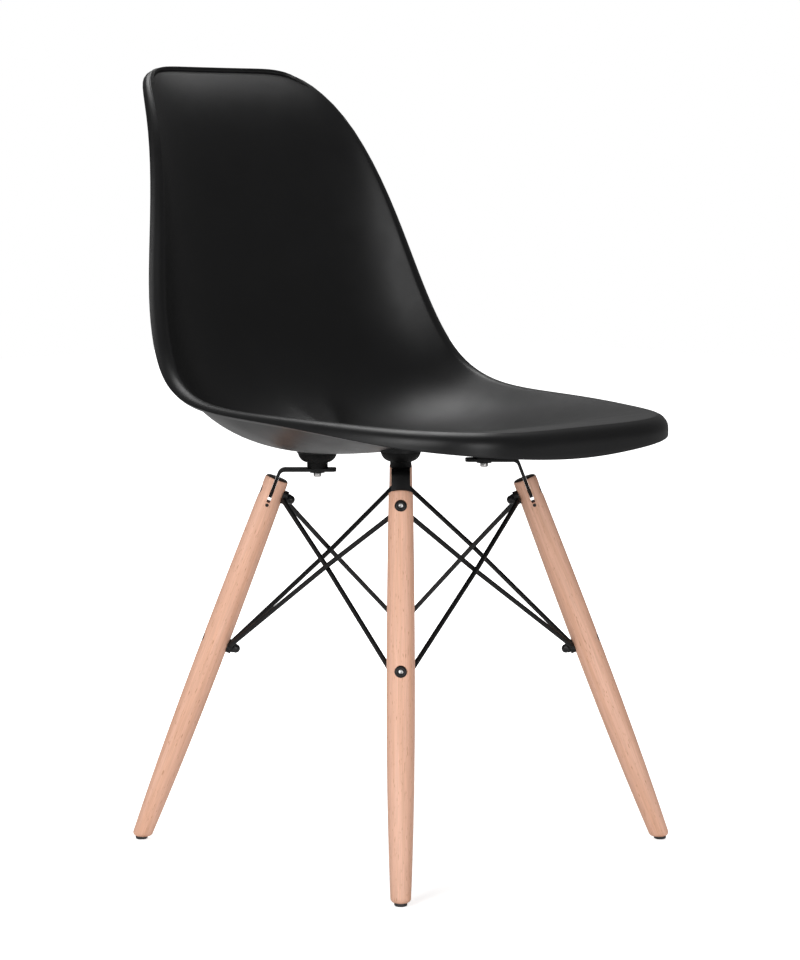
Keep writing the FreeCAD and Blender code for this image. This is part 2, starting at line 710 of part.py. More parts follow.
def seat_shell():
    form = ShellForm()
    wall = size_of("wall")
    upper, middle, under = [control_net(form.rings(depth)) for depth in (0, wall / 2, wall)]
    faces = [net_face(upper), net_face(under), net_face([upper[-1], under[-1]], degree=1)]
    skin = Part.Shell(faces)
    skin.sewShape()
    solid = Part.makeSolid(skin)
    limit = size_of("boss_limit")
    upwards = FreeCAD.Vector(0, 0, 1)
    core = net_face(middle[:PAN_RINGS + 1]).extrude(upwards * -limit)
    bosses, cuts = [], []
    for name, direction in LEGS.items():
        rise = size_of("front_bracket_rise - rear_bracket_rise") if name.startswith("front") else 0
        turned = math.radians(direction)
        foot = FreeCAD.Vector(math.cos(turned), math.sin(turned), 0) * size_of(MOUNT_REACH)
        foot.z = rise
        column = Part.makeCylinder(size_of("boss_diameter / 2"), limit, foot, upwards)
        bosses.append(column.common(core))
        cuts.append(Part.makeCylinder(size_of("(insert_diameter + insert_clearance) / 2"),
                                      size_of("insert_length"), foot, upwards))
        # Nothing of the moulding hangs below the flat end of a boss
        cuts.append(Part.makeCylinder(size_of("boss_diameter / 2"), size_of("mount_height"), foot, -upwards))
    shell = doc.addObject("Part::Feature", "seat_shell")
    shell.Label = "seat_shell"
    shell.Shape = solid.fuse(bosses).cut(cuts).removeSplitter()
    bind(shell, Placement=place("0", "base_setback",
                                "leg_length * cos(leg_splay) + rear_bracket_rise + mount_height"))
    nodes.append(shell)


def build():
    seat_shell()
    rises = {name: name.split("_")[0] + "_bracket_rise" for name in LEGS}
    for name, rise in rises.items():
        leg(name)
        bracket(name, rise)
        shock_mount(name, rise)
        glide(name)
        lug(name, "upper")
        lug(name, "lower")
    group("threaded_inserts", [insert(name, rise) for name, rise in rises.items()])
    group("mount_screws", [mount_screw(name, rise) for name, rise in rises.items()])
    group("mount_washers", [washer(name, rise) for name, rise in rises.items()])
    group("split_stop_pins", [leg_pin(name) for name in LEGS])
    group("glide_nails", [glide_nail(name) for name in LEGS])
    for level in BOLTS:
        group(level + "_leg_bolts", [leg_bolt(name, level) for name in LEGS])
        group(level + "_cap_nuts", [cap_nut(name, level) for name in LEGS])
    names = list(LEGS)
    for index, name in enumerate(names):
        brace(name, names[(index + 1) % len(names)])


def check_and_write():
    doc.recompute()
    for thing in doc.Objects:
        if "Invalid" in thing.State or "Error" in thing.State:
            raise RuntimeError("%s failed: %s" % (thing.Name, thing.State))
    faults = [node.Label for node in nodes
              if node.Shape.isNull() or not node.Shape.isValid() or not node.Shape.Solids]
    if faults:
        raise RuntimeError("no valid solid in " + ", ".join(faults))
    os.makedirs("parts", exist_ok=True)
    for node in nodes:
        node.Shape.exportStep("parts/%s.step" % node.Label)
        box = node.Shape.BoundBox
        print("%-28s %d solids  %8.1f cm3  z %.1f to %.1f"
              % (node.Label, len(node.Shape.Solids), node.Shape.Volume / 1000, box.ZMin, box.ZMax))


build()
check_and_write()
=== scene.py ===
import bmesh, bpy, math
import numpy as np
from mathutils import Matrix, Vector


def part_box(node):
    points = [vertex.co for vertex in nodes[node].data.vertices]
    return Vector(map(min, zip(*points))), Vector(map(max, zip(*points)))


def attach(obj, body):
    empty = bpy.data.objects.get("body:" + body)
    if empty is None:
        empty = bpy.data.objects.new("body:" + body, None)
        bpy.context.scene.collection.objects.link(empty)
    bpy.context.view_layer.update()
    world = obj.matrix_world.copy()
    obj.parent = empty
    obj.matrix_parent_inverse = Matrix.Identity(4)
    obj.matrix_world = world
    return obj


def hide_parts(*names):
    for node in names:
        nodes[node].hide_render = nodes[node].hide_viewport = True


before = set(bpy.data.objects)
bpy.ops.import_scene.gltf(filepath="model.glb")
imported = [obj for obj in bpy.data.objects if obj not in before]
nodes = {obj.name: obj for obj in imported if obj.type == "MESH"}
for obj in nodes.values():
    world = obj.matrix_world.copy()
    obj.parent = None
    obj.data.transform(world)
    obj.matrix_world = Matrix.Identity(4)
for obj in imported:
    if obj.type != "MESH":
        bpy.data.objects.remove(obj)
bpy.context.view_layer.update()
print("frame loaded:", len(nodes), "nodes")

# Direction of each leg from the middle of the base
legNames = {"rear_left": 45, "rear_right": 135, "front_right": 225, "front_left": 315}


def middleOf(node):
    low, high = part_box(node)
    return (low + high) / 2


mountTops = {name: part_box("shock_mount_" + name)[1].z for name in legNames}
baseY = sum(middleOf("shock_mount_" + name).y for name in legNames) / len(legNames)

# The camera stands level with the crest, off the front right corner, and looks down a little
view = {"distance": 3.0298, "height": 0.7335, "pitch": 0.114, "lens": 108.18, "shift": -0.0008,
        "side": 45}

bpy.ops.object.select_all(action="DESELECT")
side = math.radians(view["side"])
bpy.ops.object.camera_add(
    location=(-view["distance"] * math.sin(side), baseY - view["distance"] * math.cos(side),
              view["height"]),
    rotation=(math.pi / 2 - view["pitch"], 0, -side))
camera = bpy.context.object
camera.data.lens = view["lens"]
camera.data.shift_x = view["shift"]
bpy.context.scene.camera = camera


def newMaterial(name):
    material = bpy.data.materials.new(name)
    material.use_nodes = True
    tree = material.node_tree
    shader = next(node for node in tree.nodes if node.type == "BSDF_PRINCIPLED")
    return material, tree, shader


def addNode(tree, kind, **values):
    node = tree.nodes.new(kind)
    for socket, value in values.items():
        node.inputs[socket].default_value = value
    return node


def objectCoordinates(tree):
    return tree.nodes.new("ShaderNodeTexCoord").outputs["Object"]


def mapped(tree, vector, scale=(1, 1, 1), turn=(0, 0, 0), move=(0, 0, 0)):
    mapping = addNode(tree, "ShaderNodeMapping", Scale=scale, Rotation=turn, Location=move)
    tree.links.new(vector, mapping.inputs["Vector"])
    return mapping.outputs["Vector"]


def noise(tree, vector, scale, detail=2.0, roughness=0.5):
    node = addNode(tree, "ShaderNodeTexNoise", Scale=scale, Detail=detail, Roughness=roughness)
    tree.links.new(vector, node.inputs["Vector"])
    return node.outputs["Fac"]


def ramp(tree, factor, stops):
    node = tree.nodes.new("ShaderNodeValToRGB")
    while len(node.color_ramp.elements) < len(stops):
        node.color_ramp.elements.new(0.5)
    for element, (place, colour) in zip(node.color_ramp.elements, stops):
        element.position = place
        element.color = (*colour, 1)
    tree.links.new(factor, node.inputs["Fac"])
    return node.outputs["Color"]


def grey(value):
    return (value, value, value)


def bump(tree, shader, height, strength, distance):
    node = addNode(tree, "ShaderNodeBump", Strength=strength, Distance=distance)
    tree.links.new(height, node.inputs["Height"])
    tree.links.new(node.outputs["Normal"], shader.inputs["Normal"])


def mixColours(tree, factor, first, second, blend="MIX"):
    mix = tree.nodes.new("ShaderNodeMix")
    mix.data_type = "RGBA"
    mix.blend_type = blend
    for socket, value in ((0, factor), (6, first), (7, second)):  # 6 and 7 are the node's colours A and B
        if isinstance(value, bpy.types.NodeSocket):
            tree.links.new(value, mix.inputs[socket])
        else:
            mix.inputs[socket].default_value = value if socket == 0 else (*value, 1)
    return mix.outputs[2]


# Each finish: colour, how mottled, lowest and highest roughness, fineness and depth of the grain
finishes = {
    "shellPlastic": {"colour": (0.0032, 0.0032, 0.0035), "spread": 0.12, "roughness": (0.36, 0.44),
                     "grain": 1100, "depth": 0.15, "specular": 0.3},
    "powderCoat": {"colour": (0.0028, 0.0028, 0.003), "spread": 0.2, "roughness": (0.42, 0.55),
                   "grain": 1700, "depth": 0.3, "specular": 0.3},
    "blackOxide": {"colour": (0.004, 0.004, 0.0045), "spread": 0.3, "roughness": (0.3, 0.45),
                   "grain": 1500, "depth": 0.15, "specular": 0.4},
    "mountRubber": {"colour": (0.0026, 0.0026, 0.0026), "spread": 0.2, "roughness": (0.6, 0.75),
                    "grain": 900, "depth": 0.4, "specular": 0.2},
    "bareSteel": {"colour": (0.58, 0.57, 0.56), "spread": 0.08, "roughness": (0.28, 0.4),
                  "grain": 2500, "depth": 0.1, "metallic": 1},
    "darkSteel": {"colour": (0.02, 0.018, 0.016), "spread": 0.2, "roughness": (0.4, 0.55),
                  "grain": 1500, "depth": 0.2, "metallic": 0.5},
    "brass": {"colour": (0.6, 0.45, 0.2), "spread": 0.1, "roughness": (0.3, 0.4),
              "grain": 1500, "depth": 0.1, "metallic": 1},
    "glideNylon": {"colour": (0.03, 0.03, 0.031), "spread": 0.15, "roughness": (0.45, 0.6),
                   "grain": 1200, "depth": 0.2, "specular": 0.4},
}
mottling = {"patches": 14, "clouds": 35, "grainHeight": 0.0004}


def makeFinish(name):
    finish = finishes[name]
    material, tree, shader = newMaterial(name)
    vector = objectCoordinates(tree)
    low = tuple(channel * (1 - finish["spread"]) for channel in finish["colour"])
    high = tuple(channel * (1 + finish["spread"]) for channel in finish["colour"])
    patches = ramp(tree, noise(tree, vector, mottling["patches"], 3), [(0.3, low), (0.7, high)])
    tree.links.new(patches, shader.inputs["Base Color"])
    smooth, rough = finish["roughness"]
    clouds = ramp(tree, noise(tree, vector, mottling["clouds"], 4),
                  [(0.25, grey(smooth)), (0.75, grey(rough))])
    tree.links.new(clouds, shader.inputs["Roughness"])
    grain = noise(tree, vector, finish["grain"], 3)
    bump(tree, shader, grain, finish["depth"], mottling["grainHeight"])
    shader.inputs["Metallic"].default_value = finish.get("metallic", 0)
    shader.inputs["Specular IOR Level"].default_value = finish.get("specular", 0.5)
    return material


paints = {name: makeFinish(name) for name in finishes}

woodLook = {
    "pale": (0.80, 0.475, 0.345), "warm": (0.70, 0.385, 0.255), "fleck": (0.50, 0.25, 0.145),
    "end": (0.035, 0.022, 0.016), "endDepth": 0.0016, "endEdge": (-0.0004, 0.0002),
    "bands": 130, "fibres": 900, "flecks": 1100, "stretch": 0.035, "fleckStretch": 0.12,
    "fibreShade": (0.9, 1.04), "roughness": (0.42, 0.55), "specular": 0.4,
    "fibreDepth": 0.25, "fibreHeight": 0.0003,
}


def legWood(name, number):
    # Beech with its grain along the leg: broad bands, fine fibres, short dark flecks, and a nearly black
    # band at the top end
    look = woodLook
    material, tree, shader = newMaterial("legWood_" + name)
    toLeg = legFrame(name).inverted()
    straight = mapped(tree, objectCoordinates(tree), turn=tuple(toLeg.to_euler()),
                      move=tuple(toLeg.translation))
    # Each leg is cut from another place in the wood
    drawn = mapped(tree, straight, scale=(1, 1, look["stretch"]), move=(0.37 * number, 0.11 * number, 0))
    short = mapped(tree, straight, scale=(1, 1, look["fleckStretch"]),
                   move=(0.53 * number, 0, 0.2 * number))
    bands = noise(tree, drawn, look["bands"], 3, 0.6)
    fibres = noise(tree, drawn, look["fibres"], 2)
    flecks = noise(tree, short, look["flecks"], 1)
    dark, light = look["fibreShade"]
    base = ramp(tree, bands, [(0.3, look["warm"]), (0.62, look["pale"])])
    fibre = ramp(tree, fibres, [(0.3, grey(dark)), (0.7, grey(light))])
    spots = ramp(tree, flecks, [(0.66, grey(0)), (0.74, grey(1))])
    flecked = mixColours(tree, spots, mixColours(tree, 1.0, base, fibre, "MULTIPLY"), look["fleck"])
    # The last endDepth of the leg below its top end is coloured nearly black
    height = tree.nodes.new("ShaderNodeSeparateXYZ")
    tree.links.new(straight, height.inputs[0])
    top = legSize["length"] - look["endDepth"]
    isEnd = tree.nodes.new("ShaderNodeMapRange")
    isEnd.inputs["From Min"].default_value = top + look["endEdge"][0]
    isEnd.inputs["From Max"].default_value = top + look["endEdge"][1]
    tree.links.new(height.outputs["Z"], isEnd.inputs["Value"])
    tree.links.new(mixColours(tree, isEnd.outputs[0], flecked, look["end"]), shader.inputs["Base Color"])
    smooth, rough = look["roughness"]
    tree.links.new(ramp(tree, fibres, [(0.3, grey(smooth)), (0.7, grey(rough))]),
                   shader.inputs["Roughness"])
    bump(tree, shader, fibres, look["fibreDepth"], look["fibreHeight"])
    shader.inputs["Specular IOR Level"].default_value = look["specular"]
    return material


def paint(thing, material):
    if thing.material_slots:
        for slot in thing.material_slots:
            slot.material = material
    else:
        thing.data.materials.append(material)


legSize = {"spread": 0.279, "splay": 20.9, "length": 0.417, "upperDepth": 0.0175, "lowerDepth": 0.1875,
           "upperDiameter": 0.025, "lowerDiameter": 0.0286, "lugSeat": 0.0006, "counterbore": 0.0032}


def legFrame(name):
    # From a leg's own axes, X away from the middle and Z up along the leg, to the chair's
    lean = Matrix.Rotation(-math.radians(legSize["splay"]), 4, "Y")
    around = Matrix.Rotation(math.radians(legNames[name]), 4, "Z")
    out = Matrix.Translation((legSize["spread"], 0, 0))
    return Matrix.Translation((0, baseY, 0)) @ around @ out @ lean


def boltFrame(name, level, outwards=0.0):
    # On the axis of a leg's bolt, turned over at the lower one so that its lug faces up
    along = legSize["length"] - legSize[level + "Depth"]
    roll = Matrix.Rotation(math.pi if level == "lower" else 0, 4, "X")
    return legFrame(name) @ Matrix.Translation((outwards, 0, along)) @ roll


for number, name in enumerate(legNames):
    paint(nodes["leg_" + name], legWood(name, number))
plainNodes = {"glide_nails": "bareSteel", "threaded_inserts": "brass", "split_stop_pins": "darkSteel"}
for nodeName, finish in plainNodes.items():
    paint(nodes[nodeName], paints[finish])
print("materials done")


def onlySelect(*things):
    bpy.ops.object.select_all(action="DESELECT")
    for thing in things:
        thing.select_set(True)
    bpy.context.view_layer.objects.active = things[0]


def applyModifier(thing, kind, **settings):
    onlySelect(thing)
    modifier = thing.modifiers.new(kind, kind)
    for key, value in settings.items():
        setattr(modifier, key, value)
    bpy.ops.object.modifier_apply(modifier=modifier.name)


def extrudeRings(rings, fill="NGON"):
    # A circle takes the first ring's shape, and is extruded to each of the others in turn
    count = len(rings[0])
    bpy.ops.object.select_all(action="DESELECT")
    bpy.ops.mesh.primitive_circle_add(vertices=count, radius=0.01, fill_type=fill)
    piece = bpy.context.object
    bpy.ops.object.mode_set(mode="EDIT")
    bpy.context.tool_settings.mesh_select_mode = (False, fill == "TRIFAN", fill != "TRIFAN")
    mesh = bmesh.from_edit_mesh(piece.data)
    spoke = mesh.verts.layers.int.new("spoke")
    number = 0
    for vertex in mesh.verts:
        if vertex.co.length < 1e-6:
            vertex.co = rings[0][0]
        else:
            vertex[spoke] = number
            vertex.co = rings[1 if fill == "TRIFAN" else 0][number]
            number += 1
    if fill == "TRIFAN":
        for edge in mesh.edges:
            edge.select = edge.is_boundary
        mesh.select_flush_mode()
    bmesh.update_edit_mesh(piece.data)
    for ring in rings[2 if fill == "TRIFAN" else 1:]:
        bpy.ops.mesh.extrude_region_move()
        mesh = bmesh.from_edit_mesh(piece.data)
        spoke = mesh.verts.layers.int["spoke"]
        for vertex in mesh.verts:
            if vertex.select:
                vertex.co = ring[vertex[spoke]]
        bmesh.update_edit_mesh(piece.data)
    bpy.ops.mesh.select_all(action="SELECT")
    bpy.ops.mesh.normals_make_consistent(inside=False)
    bpy.ops.object.mode_set(mode="OBJECT")
    return piece


def turned(profile, sides=48, flats=()):
    # A solid of rings about its own Z; the rings whose numbers are in flats are hexagons
    rings = []
    for number, (radius, height) in enumerate(profile):
        ring = []
        for step in range(sides):
            angle = 2 * math.pi * step / sides
            reach = radius
            if number in flats:
                reach = radius / math.cos((angle + math.pi / 6) % (math.pi / 3) - math.pi / 6)
            ring.append(Vector((reach * math.cos(angle), reach * math.sin(angle), height)))
        rings.append(ring)
    return extrudeRings(rings)


def roundCorners(points, radii, steps=8):
    # Each point with a radius becomes an arc that touches the stretches on both sides
    rounded = []
    for index, (point, radius) in enumerate(zip(points, radii)):
        if not radius:
            rounded.append(point)
            continue
        back = (points[index - 1] - point).normalized()
        ahead = (points[(index + 1) % len(points)] - point).normalized()
        halfTurn = (math.pi - back.angle(ahead)) / 2
        middle = point + (back + ahead).normalized() * radius / math.cos(halfTurn)
        start = point + back * radius * math.tan(halfTurn) - middle
        finish = point + ahead * radius * math.tan(halfTurn) - middle
        for step in range(steps + 1):
            rounded.append(middle + start.slerp(finish, step / steps) * radius)
    return rounded


def plate(outline, low, high, axis):
    # An outline in the plane square to an axis, extruded from low to high along it
    def lifted(level):
        order = {"X": lambda a, b: (level, a, b), "Y": lambda a, b: (a, level, b)}[axis]
        return [Vector(order(corner[0], corner[1])) for corner in outline]
    return extrudeRings([lifted(low), lifted(high)])


def soften(piece, width, segments=2, angle=35):
    applyModifier(piece, "BEVEL", width=width, segments=segments, limit_method="ANGLE",
                  angle_limit=math.radians(angle), use_clamp_overlap=True)
    onlySelect(piece)
    bpy.ops.object.shade_smooth_by_angle(angle=math.radians(angle))


def settle(pieces, name, material, slot, *replaced):
    # Join what belongs together, put the place into the mesh, and fix the piece to the chair.
    # A piece with no material here already has its own
    onlySelect(*pieces)
    if len(pieces) > 1:
        bpy.ops.object.join()
    piece = bpy.context.object
    bpy.ops.object.transform_apply(location=True, rotation=True, scale=True)
    piece.name = name
    piece.data.name = name
    if material:
        paint(piece, material)
    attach(piece, "root")
    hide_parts(*replaced)
    return piece


def put(piece, place):
    piece.matrix_world = place
    return piece


shellSize = {
    "wall": 0.0045, "rimSharpness": 6, "dishSharpness": 3.8, "lipTurn": 95, "sideSkirt": 0.001,
    "frontSkirt": 0.015, "centre": 0.42, "edgeRound": 0.0013, "panRings": 10, "panSpacing": 0.8,
    "lipRings": 5, "spokes": 96, "ringSteps": 61,
}
# Centre line from the front edge to the top: place Y, place Z, rim rise, half width, lip radius
stationPoints = np.array([
    (-0.2495, 0.045, 0.007, 0.176, 0.0145),
    (-0.204, 0.044, 0.007, 0.182, 0.014),
    (-0.121, 0.029, 0.024, 0.191, 0.014),
    (-0.014, 0.006, 0.046, 0.202, 0.010),
    (0.093, 0.003, 0.053, 0.209, 0.012),
    (0.168, 0.055, 0.045, 0.202, 0.014),
    (0.200, 0.159, 0.034, 0.184, 0.014),
    (0.213, 0.281, 0.024, 0.158, 0.010),
    (0.243, 0.372, 0.012, 0.142, 0.0075),
    (0.290, 0.405, 0.013, 0.144, 0.0055),
])


def smoothWeights(count, place):
    # Of the control points of a smooth curve with fixed ends, at a place from 0 to 1
    inner = count - 4
    knots = [0] * 4 + [step / (inner + 1) for step in range(1, inner + 1)] + [1] * 4
    place = min(max(place, 0), 1 - 1e-9)
    weights = [1.0 if knots[i] <= place < knots[i + 1] else 0.0 for i in range(count + 3)]
    for degree in (1, 2, 3):
        following = []
        for i in range(count + 3 - degree):
            left = knots[i + degree] - knots[i]
            right = knots[i + degree + 1] - knots[i + 1]
            value = (place - knots[i]) / left * weights[i] if left else 0
            value += (knots[i + degree + 1] - place) / right * weights[i + 1] if right else 0
            following.append(value)
        weights = following
    return np.array(weights)


def centreLine(along):
    row = smoothWeights(len(stationPoints), along) @ stationPoints
    nudge = 1e-4
    ahead = smoothWeights(len(stationPoints), along + nudge) @ stationPoints
    back = smoothWeights(len(stationPoints), along - nudge) @ stationPoints
    tangent = Vector((0, ahead[0] - back[0], ahead[1] - back[1])).normalized()
    return row, tangent


def onShell(along, across):
    row, tangent = centreLine(min(max(along, 0), 1))
    lift = row[2] * abs(across) ** shellSize["dishSharpness"]
    return Vector((row[3] * across, row[0] - tangent.z * lift, row[1] + tangent.y * lift))


def shellNormal(along, across):
    nudge = 0.002
    lengthwise = onShell(along + nudge, across) - onShell(along - nudge, across)
    crosswise = onShell(along, across + nudge) - onShell(along, across - nudge)
    return crosswise.cross(lengthwise).normalized()


def shellNet():
    # Rings from the middle of the seat out to the edge of the rolled rim, pushed out so that
    # the smooth surface passes close to them
    size = shellSize
    spokes = size["spokes"]
    angles = [2 * math.pi * step / spokes for step in range(spokes)]
    rims = []
    for angle in angles:
        ahead, across = math.cos(angle), math.sin(angle)
        sharp = size["rimSharpness"]
        length = (abs(ahead) ** sharp + abs(across) ** sharp) ** (1 / sharp)
        rims.append(((1 - ahead / length) / 2, across / length))
    rings = []
    for ringNumber in range(size["panRings"] + 1):
        share = (ringNumber / size["panRings"]) ** size["panSpacing"]
        rings.append([onShell(size["centre"] + share * (along - size["centre"]), share * across)
                      for along, across in rims])
    edge = rings[-1]
    normals = [shellNormal(*rim) for rim in rims]
    outward = []
    for i, normal in enumerate(normals):
        tangent = edge[(i + 1) % spokes] - edge[i - 1]
        side = tangent.cross(normal).normalized()
        outward.append(side if side.dot(edge[i] - onShell(size["centre"], 0)) > 0 else -side)
    lips = [centreLine(along)[0][4] for along, across in rims]
    turn = math.radians(size["lipTurn"])
    for step in range(1, size["lipRings"] + 1):
        roll = turn * step / size["lipRings"]
        rings.append([edge[i] + normals[i] * lips[i] * (math.cos(roll) - 1)
                      + outward[i] * lips[i] * math.sin(roll) for i in range(spokes)])
    for share in (0.5, 1):
        ring = []
        for i, angle in enumerate(angles):
            frontShare = max(math.cos(angle), 0) ** 3
            skirt = size["sideSkirt"] + (size["frontSkirt"] - size["sideSkirt"]) * frontShare
            downhill = outward[i] * math.cos(turn) - normals[i] * math.sin(turn)
            ring.append(rings[size["panRings"] + size["lipRings"]][i] + downhill * skirt * share)
        rings.append(ring)
    net = np.array(rings)
    net = net - (np.roll(net, 1, 1) - 2 * net + np.roll(net, -1, 1)) / 6
    net[2:-2] = net[2:-2] - (net[1:-3] - 2 * net[2:-2] + net[3:-1]) / 6
    return net


def shellRings():
    # Points of the finished surface: twice as many spokes as the net, and closer rings
    net = shellNet()
    onSpoke = (np.roll(net, 1, 1) + 4 * net + np.roll(net, -1, 1)) / 6
    between = (np.roll(net, 1, 1) + 23 * net + 23 * np.roll(net, -1, 1) + np.roll(net, -2, 1)) / 48
    doubled = np.stack([onSpoke, between], axis=2).reshape(len(net), -1, 3)
    places = [step / (shellSize["ringSteps"] - 1) for step in range(shellSize["ringSteps"])]
    weights = np.array([smoothWeights(len(net), place) for place in places])
    return np.einsum("rn,nsx->rsx", weights, doubled)


def makeShell():
    shell = extrudeRings(shellRings() + np.array((0, baseY, mountTops["rear_left"])), "TRIFAN")
    if shell.data.polygons[0].normal.z < 0:
        bpy.ops.object.mode_set(mode="EDIT")
        bpy.ops.mesh.select_all(action="SELECT")
        bpy.ops.mesh.flip_normals()
        bpy.ops.object.mode_set(mode="OBJECT")
    applyModifier(shell, "SOLIDIFY", thickness=shellSize["wall"], offset=-1, use_even_offset=True)
    applyModifier(shell, "BEVEL", width=shellSize["edgeRound"], segments=3, limit_method="ANGLE",
                  angle_limit=math.radians(60))
    bpy.ops.object.shade_smooth()
    return settle([shell], "seatShell", paints["shellPlastic"], "shell", "seat_shell")


shell = makeShell()
print("shell done:", len(shell.data.polygons), "faces")

bossSize = {"diameter": 0.043, "height": 0.01, "sink": 0.0022, "least": 0.0005, "below": 0.02,
            "sides": 64}


def makeBosses():
    # One under the shell over each shock mount, reaching up into the wall
    made = []
    for name in legNames:
        centre, low = middleOf("shock_mount_" + name), mountTops[name]
        radius = bossSize["diameter"] / 2
        boss = turned([(radius, 0), (radius, bossSize["height"])], bossSize["sides"])
        for vertex in boss.data.vertices:
            vertex.co += Vector((centre.x, centre.y, low))
            if vertex.co.z > low + bossSize["height"] / 2:
                start = Vector((vertex.co.x, vertex.co.y, low - bossSize["below"]))
                hit, place, normal, face = shell.ray_cast(start, Vector((0, 0, 1)))
                if hit:
                    vertex.co.z = max(place.z + bossSize["sink"], low + bossSize["least"])
        onlySelect(boss)
        bpy.ops.object.shade_smooth_by_angle(angle=math.radians(35))
        made.append(boss)
    return settle(made, "seatBosses", paints["shellPlastic"], "shell", "seat_shell")


makeBosses()
print("bosses done")

# The cup's side is an arc from its under side to its top
mountSize = {"neckRadius": 0.011, "neckHeight": 0.006, "bottomRadius": 0.0115, "topRadius": 0.02075,
             "height": 0.016, "bulge": 0.0022, "steps": 8, "round": 0.0006, "sides": 64}


def makeMount(name):
    size = mountSize
    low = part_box("shock_mount_" + name)[0].z
    profile = [(size["neckRadius"], 0), (size["neckRadius"], size["neckHeight"])]
    across = size["topRadius"] - size["bottomRadius"]
    rise = size["height"] - size["neckHeight"]
    for step in range(size["steps"] + 1):
        share = step / size["steps"]
        out = size["bulge"] * 4 * share * (1 - share)
        chord = math.hypot(across, rise)
        profile.append((size["bottomRadius"] + across * share + out * rise / chord,
                        size["neckHeight"] + rise * share - out * across / chord))
    mount = turned(profile, size["sides"])
    centre = middleOf("shock_mount_" + name)
    put(mount, Matrix.Translation((centre.x, centre.y, low)))
    soften(mount, size["round"])
    return settle([mount], "shockMount_" + name, paints["mountRubber"], "rubber", "shock_mount_" + name)


strapSize = {"thickness": 0.0035, "width": 0.019, "bend": 0.005, "corner": 0.005, "tabDepth": 0.022,
             "overhang": 0.02, "round": 0.0004, "cornerSteps": 8}


def makeBracket(name):
    # The strap's side view from the inner end of the flange to the tab in the leg's slot
    size = strapSize
    splay = math.radians(legSize["splay"])
    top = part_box("bracket_" + name)[1].z
    half = size["thickness"] / 2
    centre = middleOf("shock_mount_" + name)
    inner = math.hypot(centre.x, centre.y - baseY) - size["overhang"]
    depth = legSize["length"] - size["tabDepth"]
    end = Vector((legSize["spread"] - depth * math.sin(splay), depth * math.cos(splay)))
    aside = Vector((math.cos(splay), math.sin(splay))) * half

    def bendAt(height, side):
        across = legSize["spread"] - height * math.tan(splay)
        return Vector((across + side * half / math.cos(splay), height))

    under = top - size["thickness"]
    corners = [Vector((inner, under)), bendAt(under, -1), end - aside, end + aside, bendAt(top, 1),
               Vector((inner, top))]
    radii = [0, size["bend"], 0, 0, size["bend"] + size["thickness"], 0]
    strap = plate(roundCorners(corners, radii), -size["width"] / 2, size["width"] / 2, "Y")
    onlySelect(strap)
    bpy.ops.object.mode_set(mode="EDIT")
    bpy.context.tool_settings.mesh_select_mode = (False, True, False)
    mesh = bmesh.from_edit_mesh(strap.data)
    for edge in mesh.edges:
        ends = [vertex.co for vertex in edge.verts]
        upright = abs(ends[0].z - ends[1].z) > size["thickness"] / 2
        edge.select = upright and all(abs(place.x - inner) < size["round"] for place in ends)
    bmesh.update_edit_mesh(strap.data)
    bpy.ops.mesh.bevel(offset=size["corner"], segments=size["cornerSteps"], affect="EDGES")
    bpy.ops.object.mode_set(mode="OBJECT")
    put(strap, Matrix.Translation((0, baseY, 0)) @ Matrix.Rotation(math.radians(legNames[name]), 4, "Z"))
    soften(strap, size["round"])
    return settle([strap], "bracket_" + name + "_dressed", paints["powderCoat"], "black_steel",
                  "bracket_" + name)


glideSize = {"radius": 0.0065, "height": 0.003, "chamfer": 0.0008, "recess": 0.0024,
             "recessDepth": 0.0006, "round": 0.0002}


def makeGlide(name):
    size = glideSize
    centre = middleOf("glide_" + name)
    glide = turned([(size["recess"], size["recessDepth"]), (size["recess"], 0),
                    (size["radius"] - size["chamfer"], 0), (size["radius"], size["chamfer"]),
                    (size["radius"], size["height"])])
    put(glide, Matrix.Translation((centre.x, centre.y, 0)))
    soften(glide, size["round"])
    return settle([glide], "footGlide_" + name, paints["glideNylon"], "glide", "glide_" + name)


for name in legNames:
    makeMount(name)
    makeBracket(name)
    makeGlide(name)
print("mounts, brackets and glides done")

screwSize = {"washerRadius": 0.008, "washerHeight": 0.0015, "headRadius": 0.0042, "headHeight": 0.0044,
             "chamfer": 0.0008, "socket": 0.002, "socketDepth": 0.002, "round": 0.0002}


def makeScrews():
    size = screwSize
    washers, screws = [], []
    for name in legNames:
        centre = middleOf("shock_mount_" + name)
        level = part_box("bracket_" + name)[1].z - strapSize["thickness"] - size["washerHeight"]
        place = Matrix.Translation((centre.x, centre.y, level))
        washer = turned([(size["washerRadius"], 0), (size["washerRadius"], size["washerHeight"])])
        washers.append(put(washer, place))
        end = -size["headHeight"]
        screw = turned([(size["socket"], end + size["socketDepth"]), (size["socket"], end),
                        (size["headRadius"] - size["chamfer"], end),
                        (size["headRadius"], end + size["chamfer"]), (size["headRadius"], 0)],
                       flats=(0, 1))
        screws.append(put(screw, place))
    for piece in washers + screws:
        soften(piece, size["round"])
    settle(washers, "mountWashers", paints["powderCoat"], "black_fastener", "mount_washers")
    settle(screws, "mountScrews", paints["bareSteel"], "steel", "mount_screws")


makeScrews()

boltSize = {"shank": 0.003, "headRadius": 0.006, "headHeight": 0.003, "chamfer": 0.001, "socket": 0.002,
            "socketDepth": 0.002, "round": 0.0003, "endGap": 0.0003, "paintedHighlightShare": 1.08}
nutSize = {"flats": 0.010, "height": 0.0032, "chamfer": 0.0007, "domeRadius": 0.0048, "straight": 0.0004,
           "steps": 9, "round": 0.0002, "boreDepth": 0.0062}
lugSize = {"thickness": 0.0056, "width": 0.013, "corner": 0.0048, "reach": 0.007, "foot": 0.007,
           "mouth": 0.006, "slant": 20, "round": 0.0006}
outwardsAxis = Matrix.Rotation(math.pi / 2, 4, "Y")  # turns a piece's own Z to the bolt's way out


